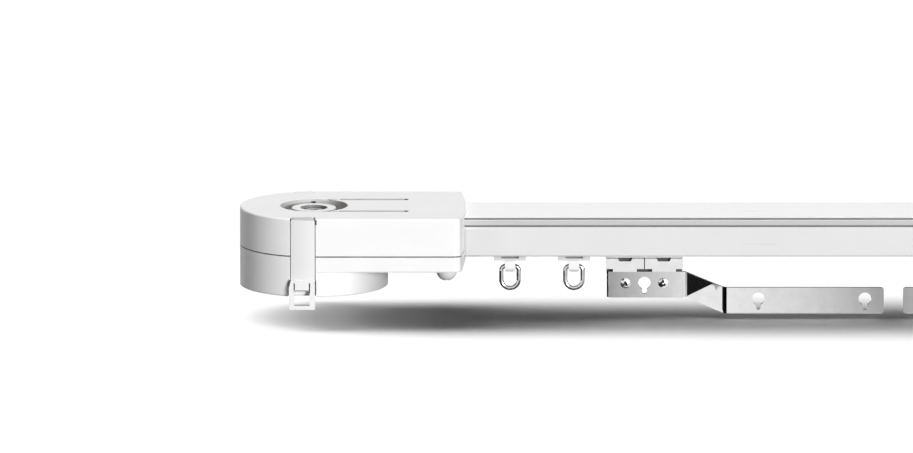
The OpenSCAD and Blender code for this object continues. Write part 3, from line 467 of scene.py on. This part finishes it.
def box_marks(finish):
    """Painted shade on the boxes: the parting line, top grooves and dots at their ends, recess,
    rims, heel and corners beside the rail, and a painted shadow on the base; and a dark dot at each
    hinge end.
    """
    x, y, z = finish.along("X"), abs(finish.along("Y")), finish.along("Z")
    parting = z.within(*PARTING_Z)
    grooves = y.within(*TOP_GROOVE_Y) * z.within(*TOP_GROOVE_Z)
    top = grooves * (x.within(*TOP_GROOVE_X) * TOP_GROOVE_SHADE).at_least(x.within(*TOP_DOT_X))
    deep = abs(x - DRIVE_AXIS_X) * RECESS_SHADE_PER_METRE + RECESS_SHADE
    recess = from_axis(finish).within(0.0, RECESS_RADIUS) * z.within(*RECESS_Z) * deep
    base = z.within(*BASE_Z) * x.rising(BASE_SHADE_X, slope=30.0, most=0.5)
    rim = z.within(*BASE_RIM_Z) * BASE_RIM_SHADE
    heel = z.within(*HEEL_Z) * x.rising(HEEL_SHADE_X, slope=20.0, most=0.2)
    inwards = abs(x).rising(CORNER_X, slope=-330.0, most=1.0)
    corner = inwards * y.rising(CORNER_Y, slope=250.0, most=0.48)
    hinge = x.within(*HINGE_X) * y.within(*HINGE_Y) * z.within(*HINGE_Z) * HINGE_SHADE
    return strongest(parting, top, recess, base, rim, heel, corner, hinge)


def latch_marks(finish):
    """Painted shade on the step above the window of a latch, and on the upper edge of the front
    one.
    """
    height = finish.along("Z")
    step = finish.along("X").within(*LATCH_STEP_X) * height.within(*LATCH_STEP_Z)
    edge = height.within(*LATCH_TOP_Z) * finish.along("Y").within(*FRONT_HALF_Y)
    return (step * LATCH_STEP_SHADE).at_least(edge * LATCH_TOP_SHADE)


def hub_ring(finish):
    """Painted shade in a ring round the middle of the drive hub."""
    return from_axis(finish).within(*HUB_RING_RADII) * HUB_RING_SHADE


def arm_folds(finish):
    """Painted dark reflections on the narrow fold where the arm runs straight, and on the edge of
    its leaf behind the hanger.
    """
    out = abs(finish.along("X"))
    return out.within(*ARM_FOLD_X).at_least(out.within(*ARM_LEAF_X))


def chassis_back(finish):
    """Painted shade on the part of a chassis behind the sheet metal, so that the openings of the
    hanger look dark.
    """
    return finish.along("Y").within(*CHASSIS_BACK_Y)


def foot_marks(finish):
    """Painted shade on the back of the notches in a runner's foot, and on the foot itself where the
    rail would shade it.
    """
    height = finish.along("Z")
    notch = abs(finish.along("Y")).within(*NOTCH_Y) * height.within(*NOTCH_Z)
    return (notch * NOTCH_SHADE).at_least(height.within(*FOOT_Z) * FOOT_SHADE)


class TrackColours(bpy.types.PropertyGroup):
    """Base colours of the finishes."""

    housing: bpy.props.FloatVectorProperty(
        name="Housing", description="Moulded plastic of both end boxes", subtype="COLOR",
        size=4, min=0.0, max=1.0, default=(0.80, 0.80, 0.80, 1.0))
    latch: bpy.props.FloatVectorProperty(
        name="Latch", description="Moulded plastic of the motor latches", subtype="COLOR",
        size=4, min=0.0, max=1.0, default=(0.74, 0.74, 0.74, 1.0))
    rail: bpy.props.FloatVectorProperty(
        name="Rail", description="Powder coat of the rail", subtype="COLOR",
        size=4, min=0.0, max=1.0, default=(0.665, 0.665, 0.67, 1.0))
    runner: bpy.props.FloatVectorProperty(
        name="Runner", description="Nylon of the runners, chassis and belt clamps", subtype="COLOR",
        size=4, min=0.0, max=1.0, default=(0.86, 0.86, 0.855, 1.0))
    wheel: bpy.props.FloatVectorProperty(
        name="Wheel", description="Plastic of the wheels", subtype="COLOR",
        size=4, min=0.0, max=1.0, default=(0.58, 0.58, 0.575, 1.0))
    pulley: bpy.props.FloatVectorProperty(
        name="Pulley", description="Plastic of the pulleys", subtype="COLOR",
        size=4, min=0.0, max=1.0, default=(0.78, 0.78, 0.775, 1.0))
    chrome: bpy.props.FloatVectorProperty(
        name="Chrome", description="Plating of the hangers and arms", subtype="COLOR",
        size=4, min=0.0, max=1.0, default=(0.81, 0.81, 0.82, 1.0))
    ring: bpy.props.FloatVectorProperty(
        name="Ring", description="Plating of the rings", subtype="COLOR",
        size=4, min=0.0, max=1.0, default=(0.62, 0.62, 0.63, 1.0))
    screw_cap: bpy.props.FloatVectorProperty(
        name="Screw cap", description="Domed screw heads under the boxes", subtype="COLOR",
        size=4, min=0.0, max=1.0, default=(0.65, 0.65, 0.64, 1.0))
    steel: bpy.props.FloatVectorProperty(
        name="Steel", description="Shafts, axles and screws", subtype="COLOR",
        size=4, min=0.0, max=1.0, default=(0.55, 0.55, 0.56, 1.0))
    dark_steel: bpy.props.FloatVectorProperty(
        name="Dark steel", description="Hinge pins and the index pin", subtype="COLOR",
        size=4, min=0.0, max=1.0, default=(0.04, 0.04, 0.042, 1.0))
    rivet: bpy.props.FloatVectorProperty(
        name="Rivet", description="Rivet heads of the hangers", subtype="COLOR",
        size=4, min=0.0, max=1.0, default=(0.90, 0.90, 0.91, 1.0))
    bronze: bpy.props.FloatVectorProperty(
        name="Bronze", description="Bushes", subtype="COLOR",
        size=4, min=0.0, max=1.0, default=(0.50, 0.34, 0.17, 1.0))
    belt: bpy.props.FloatVectorProperty(
        name="Belt", description="Rubber of the drive belt", subtype="COLOR",
        size=4, min=0.0, max=1.0, default=(0.03, 0.03, 0.032, 1.0))


class TrackSizes(bpy.types.PropertyGroup):
    """Small sizes that only the looks have."""

    moulded_edge: bpy.props.FloatProperty(
        name="Moulded edge", description="Edge rounding of moulded pieces", unit="LENGTH",
        min=0.0, max=0.001, precision=5, default=0.00035)
    sheet_edge: bpy.props.FloatProperty(
        name="Sheet edge", description="Edge rounding of plated sheet", unit="LENGTH",
        min=0.0, max=0.0005, precision=5, default=0.00012)
    extruded_edge: bpy.props.FloatProperty(
        name="Extruded edge", description="Edge rounding of the rail", unit="LENGTH",
        min=0.0, max=0.001, precision=5, default=0.0003)
    ring_corner: bpy.props.FloatProperty(
        name="Ring corner", description="Radius of the upper corners of a ring, along its wire",
        unit="LENGTH", min=0.001, max=0.004, precision=5, default=0.0022)


class TrackStage(bpy.types.PropertyGroup):
    """Camera, light and floor."""

    distance: bpy.props.FloatProperty(
        name="Camera distance", description="From the point looked at to the camera",
        unit="LENGTH", min=0.5, max=20.0, default=9.0)
    view_width: bpy.props.FloatProperty(
        name="View width", description="Width of the view at the track", unit="LENGTH",
        min=0.1, max=1.5, default=0.4196)
    elevation: bpy.props.FloatProperty(
        name="Elevation", description="Height of the camera above the horizon", subtype="ANGLE",
        min=0.0, max=1.5, default=math.radians(11.1))
    target: bpy.props.FloatVectorProperty(
        name="Target", description="Point that the camera looks at", subtype="TRANSLATION",
        size=3, default=(-0.2008, 0.0, -0.00794))
    floor_gap: bpy.props.FloatProperty(
        name="Floor gap", description="From the lowest piece down to the floor", unit="LENGTH",
        min=0.0, max=0.1, default=0.0025)
    floor_colour: bpy.props.FloatVectorProperty(
        name="Floor", description="Colour of the floor", subtype="COLOR",
        size=4, min=0.0, max=1.0, default=(0.8, 0.8, 0.8, 1.0))
    floor_light: bpy.props.FloatProperty(
        name="Floor light", description="Strength of the lights above the floor together",
        min=0.0, max=10.0, default=3.95)
    floor_light_size: bpy.props.FloatProperty(
        name="Floor light size", description="Width of a light one metre above the floor",
        unit="LENGTH", min=0.0, max=2.0, default=1.0)
    overhead: bpy.props.FloatProperty(
        name="Overhead light", description="Strength of the light above the track",
        min=0.0, max=10.0, default=2.5)
    front: bpy.props.FloatProperty(
        name="Front light", description="Strength of the front light",
        min=0.0, max=10.0, default=3.45)
    front_azimuth: bpy.props.FloatProperty(
        name="Front light azimuth", description="How far the front light stands to the right",
        subtype="ANGLE", min=-1.5, max=1.5, default=math.radians(30.0))
    front_elevation: bpy.props.FloatProperty(
        name="Front light elevation", description="Height of the front light above the horizon",
        subtype="ANGLE", min=0.0, max=1.5, default=math.radians(8.0))
    back: bpy.props.FloatProperty(
        name="Back light", description="Strength of the level light behind the track",
        min=0.0, max=10.0, default=2.4)
    ambient: bpy.props.FloatProperty(
        name="Ambient", description="Strength of the even room light",
        min=0.0, max=2.0, default=0.03)


def dress(material, *nodes):
    """Puts one finish on CAD nodes."""
    for name in nodes:
        node = frame["nodes"][name]
        if not node.material_slots:
            node.data.materials.append(material)
        for slot in node.material_slots:
            slot.material = material


def finished_piece(name, mesh, material, node):
    """Hangs a new mesh on the body of the CAD node that it stands for."""
    piece = bpy.data.objects.new(name, mesh)
    bpy.context.scene.collection.objects.link(piece)
    mesh.materials.clear()
    mesh.materials.append(material)
    flatten = piece.modifiers.new("flat_faces", "WEIGHTED_NORMAL")
    flatten.keep_sharp = True
    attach(piece, BODY_OF[node])
    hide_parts(node)


def softened(node, material, edge, fold, shortest=0.0):
    """A moulded or stamped piece with real rounded edges, crisp at folds over the given angle."""
    mesh = frame["nodes"][node].data.copy()
    form = bmesh.new()
    form.from_mesh(mesh)
    bmesh.ops.remove_doubles(form, verts=form.verts, dist=WELD_DISTANCE)
    bmesh.ops.dissolve_limit(form, angle_limit=FLAT_ANGLE, verts=form.verts, edges=form.edges)
    sharp = [rim for rim in form.edges if rim.is_manifold and rim.calc_length() > shortest
             and rim.calc_face_angle(0.0) > SHARP_ANGLE]
    bmesh.ops.bevel(form, geom=sharp, offset=edge, offset_type="OFFSET", segments=BEVEL_STEPS,
                    profile=0.5, affect="EDGES", clamp_overlap=True)
    for face in form.faces:
        face.smooth = True
    form.to_mesh(mesh)
    form.free()
    mesh.set_sharp_from_angle(angle=fold)
    finished_piece(node + ".soft", mesh, material, node)


def arc(centre, radius, start, stop, steps):
    """Points of an arc in X and Z, between two angles in degrees."""
    turns = [math.radians(start + (stop - start) * step / steps) for step in range(steps + 1)]
    return [(centre[0] + radius * math.cos(turn), centre[1] + radius * math.sin(turn))
            for turn in turns]


def wire_ring(node, material, corner):
    """A ring of round wire: a straight bar with two corners above, and a half round below."""
    low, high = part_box(node)
    wire = (high.y - low.y) / 2
    middle = (low.x + high.x) / 2
    half = (high.x - low.x) / 2 - wire
    shoulder = high.z - wire - corner
    path = (arc((middle - half + corner, shoulder), corner, 180, 90, CORNER_STEPS)
            + arc((middle + half - corner, shoulder), corner, 90, 0, CORNER_STEPS)
            + arc((middle, low.z + wire + half), half, 0, -180, ROUND_STEPS))
    form = bmesh.new()
    turns = [2.0 * math.pi * side / WIRE_SIDES for side in range(WIRE_SIDES)]
    loops = []
    for at, (x, z) in enumerate(path):
        before, after = path[at - 1], path[(at + 1) % len(path)]
        out = Vector((before[1] - after[1], 0.0, after[0] - before[0])).normalized()
        loops.append([form.verts.new(
            Vector((x, 0.0, z)) + out * wire * math.cos(turn)
            + Vector((0.0, wire * math.sin(turn), 0.0))) for turn in turns])
    for at, loop in enumerate(loops):
        follow = loops[(at + 1) % len(loops)]
        for side in range(WIRE_SIDES):
            beside = (side + 1) % WIRE_SIDES
            face = form.faces.new((loop[side], loop[beside], follow[beside], follow[side]))
            face.smooth = True
    bmesh.ops.recalc_face_normals(form, faces=form.faces)
    mesh = bpy.data.meshes.new(node + ".wire")
    form.to_mesh(mesh)
    form.free()
    finished_piece(node + ".wire", mesh, material, node)


def both_sides(pattern):
    return [pattern.format(side) for side in SIDES]


def all_runners(pattern):
    return [pattern.format(side, place) for side in SIDES for place in PLACES]


class TRACK_OT_stage(bpy.types.Operator):
    """Sets up the camera, the floor, the room, the lamps and the sheets for reflections"""

    bl_idname = "track.stage"
    bl_label = "Stage"

    def execute(self, context):
        stage = context.scene.track_stage
        context.scene.view_settings.view_transform = "Standard"
        self.camera(context.scene, stage)
        floor = self.floor(stage)
        self.room(context.scene, stage)
        self.lamps(floor, self.flag(), stage)
        self.cards(stage)
        return {"FINISHED"}

    def camera(self, scene, stage):
        data = bpy.data.cameras.new("camera")
        camera = bpy.data.objects.new("camera", data)
        scene.collection.objects.link(camera)
        towards = Vector((0.0, math.cos(stage.elevation), -math.sin(stage.elevation)))
        camera.location = Vector(stage.target) - towards * stage.distance
        camera.rotation_euler = towards.to_track_quat("-Z", "Y").to_euler()
        data.sensor_width = SENSOR_WIDTH
        data.lens = data.sensor_width * stage.distance / stage.view_width
        data.clip_end = CLIP_END
        scene.camera = camera

    def sheet(self, name, x, y, z, material, hidden=()):
        """A flat piece of the stage between two corners, which some kinds of ray don't meet."""
        mesh = bpy.data.meshes.new(name)
        corners = [(x[0], y[0], z[0]), (x[1], y[0], z[0]), (x[1], y[1], z[1]), (x[0], y[1], z[1])]
        mesh.from_pydata(corners, [], [(0, 1, 2, 3)])
        mesh.materials.append(material)
        piece = bpy.data.objects.new(name, mesh)
        bpy.context.scene.collection.objects.link(piece)
        for ray in hidden:
            setattr(piece, "visible_" + ray, False)
        return piece

    def floor(self, stage):
        """Paper under the track, darker for the rays that light the track from below."""
        material, finish = new_finish("floor_paper")
        seen = self.seen(finish)
        lit = finish.node("ShaderNodeBsdfDiffuse", {}, {"Color": tuple(stage.floor_colour)})
        dim = finish.node("ShaderNodeBsdfDiffuse", {}, {"Color": DIM_FLOOR})
        finish.node_output(finish.node("ShaderNodeMixShader", {}, {0: seen, 1: dim, 2: lit}))
        reach = (-FLOOR_REACH, FLOOR_REACH)
        low = cad_box[0].z - stage.floor_gap
        floor = self.sheet("floor", reach, reach, (low, low), material)
        return floor

    def seen(self, finish):
        """One where a ray comes from the camera, or by way of a glossy or clear surface."""
        camera = finish.node("ShaderNodeLightPath", output="Is Camera Ray")
        glossy = finish.node("ShaderNodeLightPath", output="Is Glossy Ray")
        through = finish.node("ShaderNodeLightPath", output="Is Transmission Ray")
        return camera.at_least(glossy).at_least(through)

    def room(self, scene, stage):
        """White where it is seen, and a faint even light elsewhere."""
        world = bpy.data.worlds.new("studio")
        world.use_nodes = True
        scene.world = world
        finish = Finish(world.node_tree)
        white = finish.node("ShaderNodeBackground", {}, {"Color": WHITE, "Strength": 1.0})
        light = finish.node("ShaderNodeBackground", {}, {"Color": WHITE, "Strength": stage.ambient})
        mixed = finish.node("ShaderNodeMixShader", {}, {0: self.seen(finish), 1: light, 2: white})
        finish.node_output(mixed, "ShaderNodeOutputWorld")

    def flag(self):
        """A sheet at the level of the rail, wider than the rail, that only shades the floor."""
        material, finish = new_finish("flag_cloth")
        finish.node_output(finish.node("ShaderNodeBsdfDiffuse", {}, {"Color": FLAG_CLOTH}))
        hidden = ("camera", "diffuse", "glossy", "transmission", "volume_scatter")
        flag = self.sheet("flag", FLAG_X, FLAG_Y, (FLAG_Z, FLAG_Z), material, hidden)
        return flag

    def lamps(self, floor, flag, stage):
        """A row of lights for the floor and its shadows, and three lights for the track alone."""
        floor_only = self.light_group("lit_floor", floor, "INCLUDE")
        track_only = self.light_group("lit_track", floor, "EXCLUDE")
        no_flag = self.light_group("shaded_track", flag, "EXCLUDE")
        level = math.cos(stage.front_elevation)
        front = (math.sin(stage.front_azimuth) * level, -math.cos(stage.front_azimuth) * level,
                 math.sin(stage.front_elevation))
        for at, x in enumerate(FLOOR_LIGHTS_X):
            source = Vector((x, FLOOR_LIGHTS_Y, 1.0))
            share = stage.floor_light / len(FLOOR_LIGHTS_X) * source.length
            spread = 2.0 * math.atan(stage.floor_light_size / 2.0 / source.length)
            self.hang(f"floor_light_{at}", share, spread, source, floor_only)
        self.hang("overhead", stage.overhead, OVERHEAD_SPREAD, OVERHEAD_FROM, track_only, no_flag)
        self.hang("front", stage.front, FRONT_SPREAD, front, track_only, no_flag)
        self.hang("back", stage.back, BACK_SPREAD, BACK_FROM, track_only, no_flag, glossy=False)

    def hang(self, name, strength, spread, source, lit, shaded=None, glossy=True):
        """A lamp that shines from a direction on one group, with the shadows of another."""
        light = bpy.data.lights.new(name, "SUN")
        light.energy = strength
        light.angle = spread
        lamp = bpy.data.objects.new(name, light)
        bpy.context.scene.collection.objects.link(lamp)
        lamp.location = source
        lamp.rotation_euler = (-Vector(source)).to_track_quat("-Z", "Y").to_euler()
        lamp.visible_glossy = glossy
        lamp.light_linking.receiver_collection = lit
        lamp.light_linking.blocker_collection = shaded

    def light_group(self, name, piece, state):
        """A group that says whether a piece of the stage takes a light, or blocks it."""
        group = bpy.data.collections.new(name)
        group.objects.link(piece)
        group.collection_objects[0].light_linking.link_state = state
        return group

    def cards(self, stage):
        """Sheets on the floor, behind and under the rail that only reflections show."""
        floor = cad_box[0].z - stage.floor_gap + CARD_LIFT
        heights = {"floor": (floor, floor), "rail": (UNDER_RAIL_Z, UNDER_RAIL_Z),
                   "back": (floor, BACK_CARD_TOP_Z)}
        for side, sign in zip(SIDES, (1.0, -1.0)):
            for name, across, along, place, stops in CARDS:
                self.card(name + "_card_" + side, sign, across, along, heights[place], stops)

    def card(self, name, sign, across, along, heights, stops):
        """One of those sheets, toned along its length."""
        material, finish = new_finish(name)
        along_card = (finish.along("X") * sign - across[0]) * (1.0 / (across[1] - across[0]))
        tone = finish.ramp(along_card, stops)
        finish.node_output(finish.node("ShaderNodeEmission", {}, {"Color": tone, "Strength": 1.0}))
        hidden = ("camera", "diffuse", "transmission", "volume_scatter", "shadow")
        mirrored = [sign * x for x in across]
        card = self.sheet(name, mirrored, along, heights, material, hidden)


class TRACK_OT_rail(bpy.types.Operator):
    """Coats the rail and dresses the belt that runs inside it"""

    bl_idname = "track.rail"
    bl_label = "Rail and belt"

    def execute(self, context):
        colours, sizes = context.scene.track_colours, context.scene.track_sizes
        dress(powder_coated("rail_paint", colours.rail, sizes.extruded_edge), "rail")
        dress(rubber("belt_rubber", colours.belt, SMALL_EDGE), "belt")
        return {"FINISHED"}


class TRACK_OT_boxes(bpy.types.Operator):
    """Dresses both end boxes with their latches, pulleys, screws, bushes and pins"""

    bl_idname = "track.boxes"
    bl_label = "End boxes"

    def execute(self, context):
        colours, sizes = context.scene.track_colours, context.scene.track_sizes
        # the housing carries painted shade on its grooves, recess, base, rims, heel and corners
        housing = moulded("housing_plastic", colours.housing, roughness=0.40,
                          edge=sizes.moulded_edge, specular=0.35, painted_shade=box_marks)
        dress(housing, "drive_upper_shell", "drive_lower_shell",
              "idler_upper_shell", "idler_lower_shell")
        cap = moulded("screw_cap", colours.screw_cap, roughness=0.42, edge=SMALL_EDGE)
        dress(cap, "drive_end_screws", "idler_screws")
        steel = turned_metal("steel", colours.steel, roughness=0.3, edge=FINE_EDGE)
        dress(steel, "drive_inner_screws", "drive_shaft", "idler_axle")
        dark_steel = turned_metal("dark_steel", colours.dark_steel, roughness=0.4, edge=FINE_EDGE)
        dress(dark_steel, "index_pin", "latch_pins")
        bronze = turned_metal("bronze", colours.bronze, roughness=0.35, edge=FINE_EDGE)
        dress(bronze, "upper_bush", "lower_bush", "idler_bush")
        # the pulleys carry painted shade in a ring round the middle of the hub
        pulley = moulded("pulley_plastic", colours.pulley, roughness=0.35, edge=SOFT_EDGE,
                         painted_shade=hub_ring)
        dress(pulley, "drive_pulley", "idler_pulley")
        # the latches carry painted shade on their step and upper edge
        latch = moulded("latch_plastic", colours.latch, roughness=0.38, edge=FINE_EDGE,
                        painted_shade=latch_marks)
        for node in ("latch_front", "latch_back"):
            softened(node, latch, sizes.moulded_edge, MOULDED_FOLD)
        return {"FINISHED"}


class TRACK_OT_runners(bpy.types.Operator):
    """Dresses the runners, their wheels and their rings"""

    bl_idname = "track.runners"
    bl_label = "Runners"

    def execute(self, context):
        colours, sizes = context.scene.track_colours, context.scene.track_sizes
        # the runners carry painted shade on their feet and in their notches
        nylon = moulded("runner_plastic", colours.runner, roughness=0.42, edge=FINE_EDGE,
                        painted_shade=foot_marks)
        for node in all_runners("runner_{}_{}"):
            softened(node, nylon, sizes.moulded_edge, MOULDED_FOLD)
        wheel = moulded("wheel_plastic", colours.wheel, roughness=0.36, edge=SMALL_EDGE)
        dress(wheel, *all_runners("runner_{}_{}_wheels"))
        chrome = plated("ring_chrome", colours.ring, roughness=0.06, edge=PLATED_EDGE)
        for node in all_runners("runner_{}_{}_ring"):
            wire_ring(node, chrome, sizes.ring_corner)
        return {"FINISHED"}


class TRACK_OT_carriers(bpy.types.Operator):
    """Dresses the master carriers: chassis, clamp, wheels, hanger, arm and rivets"""

    bl_idname = "track.carriers"
    bl_label = "Master carriers"

    def execute(self, context):
        colours, sizes = context.scene.track_colours, context.scene.track_sizes
        chrome = plated("sheet_chrome", colours.chrome, roughness=0.05, edge=PLATED_EDGE)
        for node in both_sides("carrier_{}_hanger"):
            softened(node, chrome, sizes.sheet_edge, SHEET_FOLD, SHEET_SHORTEST)
        # the arms carry painted dark reflections on their fold and leaf edge
        arm_chrome = plated("arm_chrome", colours.chrome, roughness=0.05, edge=PLATED_EDGE,
                            painted_reflection=arm_folds)
        for node in both_sides("carrier_{}_arm"):
            softened(node, arm_chrome, sizes.sheet_edge, SHEET_FOLD, SHEET_SHORTEST)
        rivet = blackened("rivet_steel", colours.rivet, edge=SMALL_EDGE)
        dress(rivet, *both_sides("carrier_{}_rivets"))
        # the chassis carries painted shade behind the openings of the hanger
        chassis = moulded("chassis_plastic", colours.runner, roughness=0.5, edge=SOFT_EDGE,
                          painted_shade=chassis_back)
        dress(chassis, *both_sides("carrier_{}_chassis"))
        clamp = moulded("clamp_plastic", colours.runner, roughness=0.45, edge=SMALL_EDGE)
        dress(clamp, *both_sides("carrier_{}_clamp"))
        wheel = bpy.data.materials["wheel_plastic"]
        dress(wheel, *both_sides("carrier_{}_outer_wheels"))
        dress(wheel, *both_sides("carrier_{}_inner_wheels"))
        return {"FINISHED"}


class TRACK_PT_panel(bpy.types.Panel):
    """Lists the pieces, their sizes and their colours"""

    bl_idname = "TRACK_PT_panel"
    bl_label = "Curtain track"
    bl_space_type = "VIEW_3D"
    bl_region_type = "UI"
    bl_category = "Track"

    def draw(self, context):
        for operator in OPERATORS:
            self.layout.operator(operator.bl_idname)
        scene = context.scene
        for group in (scene.track_sizes, scene.track_colours, scene.track_stage):
            column = self.layout.column()
            for name in group.__annotations__:
                column.prop(group, name)


GROUPS = (TrackColours, TrackSizes, TrackStage)
OPERATORS = (TRACK_OT_stage, TRACK_OT_rail, TRACK_OT_boxes, TRACK_OT_runners, TRACK_OT_carriers)


def register():
    for kind in GROUPS + OPERATORS + (TRACK_PT_panel,):
        bpy.utils.register_class(kind)
    bpy.types.Scene.track_colours = bpy.props.PointerProperty(type=TrackColours)
    bpy.types.Scene.track_sizes = bpy.props.PointerProperty(type=TrackSizes)
    bpy.types.Scene.track_stage = bpy.props.PointerProperty(type=TrackStage)


def unregister():
    del bpy.types.Scene.track_stage
    del bpy.types.Scene.track_sizes
    del bpy.types.Scene.track_colours
    for kind in reversed(GROUPS + OPERATORS + (TRACK_PT_panel,)):
        bpy.utils.unregister_class(kind)


def main():
    register()
    bpy.ops.track.stage()
    bpy.ops.track.rail()
    bpy.ops.track.boxes()
    bpy.ops.track.runners()
    bpy.ops.track.carriers()


if __name__ == "__main__":
    main()
